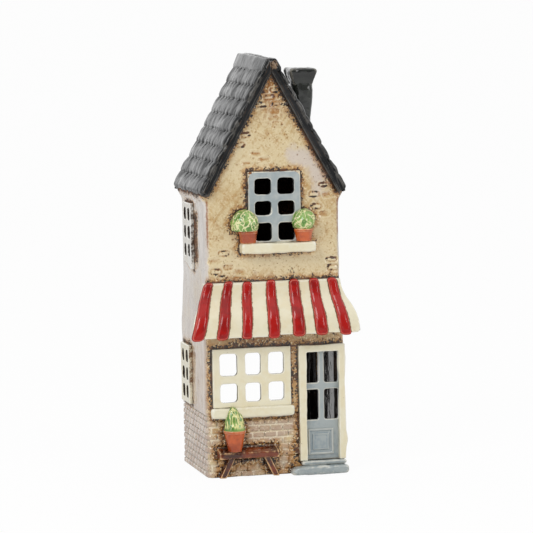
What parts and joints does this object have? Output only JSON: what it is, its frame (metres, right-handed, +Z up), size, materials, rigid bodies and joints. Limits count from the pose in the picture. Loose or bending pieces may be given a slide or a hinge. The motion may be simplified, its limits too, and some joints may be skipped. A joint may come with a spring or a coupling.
{
  "type": "ceramic village house",
  "caption": "Tall slab-built glazed ceramic shop house with a steep tiled roof, striped awning, potted plants and bench, hollow with an arched back for a tealight.",
  "frame": {"origin": "middle of the flat base, on the table", "axes": "+X to the right along the shop front, +Y from the front to the back, +Z up"},
  "size_m": [0.1158, 0.0949, 0.2797],
  "materials": {
    "wall_glaze": "glossy buff and cream glaze with lilac-grey clouds and dark pooling",
    "roof_glaze": "glossy charcoal-black glaze",
    "cream_glaze": "glossy cream glaze",
    "red_glaze": "glossy deep red glaze",
    "blue_grey_glaze": "glossy blue-grey glaze",
    "terracotta_glaze": "satin terracotta glaze",
    "bush_glaze": "glossy pale green glaze with green leaf marks",
    "cactus_glaze": "glossy green glaze with cream ribs",
    "bench_glaze": "satin dark brown glaze",
    "cup_metal": "bright pressed foil",
    "wax": "smooth candle wax",
    "wick_cotton": "braided cotton",
    "tab_metal": "tinned sheet"
  },
  "bodies": {
    "house": {"front_wall": "wall_glaze", "back_wall": "wall_glaze", "left_wall": "wall_glaze", "right_wall": "wall_glaze", "floor_slab": "wall_glaze", "left_roof_slab": "roof_glaze", "right_roof_slab": "roof_glaze", "left_roof_tiles": "roof_glaze", "right_roof_tiles": "roof_glaze", "ridge_cap": "roof_glaze", "chimney_stack": "roof_glaze", "chimney_collar": "roof_glaze", "awning_slab": "cream_glaze", "shop_window_frame": "cream_glaze", "shop_window_sill": "cream_glaze", "upper_window_sill": "cream_glaze", "left_upper_window": "cream_glaze", "right_upper_window": "cream_glaze", "left_lower_window": "cream_glaze", "right_lower_window": "cream_glaze", "door_case": "cream_glaze", "awning_cream_stripe_1": "cream_glaze", "awning_cream_stripe_2": "cream_glaze", "awning_cream_stripe_3": "cream_glaze", "awning_cream_stripe_4": "cream_glaze", "awning_cream_stripe_5": "cream_glaze", "awning_cream_stripe_6": "cream_glaze", "awning_cream_stripe_7": "cream_glaze", "awning_red_stripe_1": "red_glaze", "awning_red_stripe_2": "red_glaze", "awning_red_stripe_3": "red_glaze", "awning_red_stripe_4": "red_glaze", "awning_red_stripe_5": "red_glaze", "awning_red_stripe_6": "red_glaze", "awning_red_stripe_7": "red_glaze", "upper_window_frame": "blue_grey_glaze", "door_leaf": "blue_grey_glaze", "door_panel": "blue_grey_glaze", "doorstep": "blue_grey_glaze", "door_threshold": "blue_grey_glaze", "left_sill_pot": "terracotta_glaze", "right_sill_pot": "terracotta_glaze", "bench_pot": "terracotta_glaze", "left_sill_bush": "bush_glaze", "right_sill_bush": "bush_glaze", "bench_cactus": "cactus_glaze", "bench_seat": "bench_glaze", "bench_left_leg": "bench_glaze", "bench_right_leg": "bench_glaze"},
    "tealight": {"tealight_cup": "cup_metal", "tealight_wax": "wax", "tealight_wick": "wick_cotton", "tealight_wick_tab": "tab_metal"}
  },
  "joints": [
    {"name": "tealight_slide", "type": "slide", "parent": "house", "child": "tealight", "axis": [0, 1, 0], "range_m": [0, 0.065]}
  ]
}
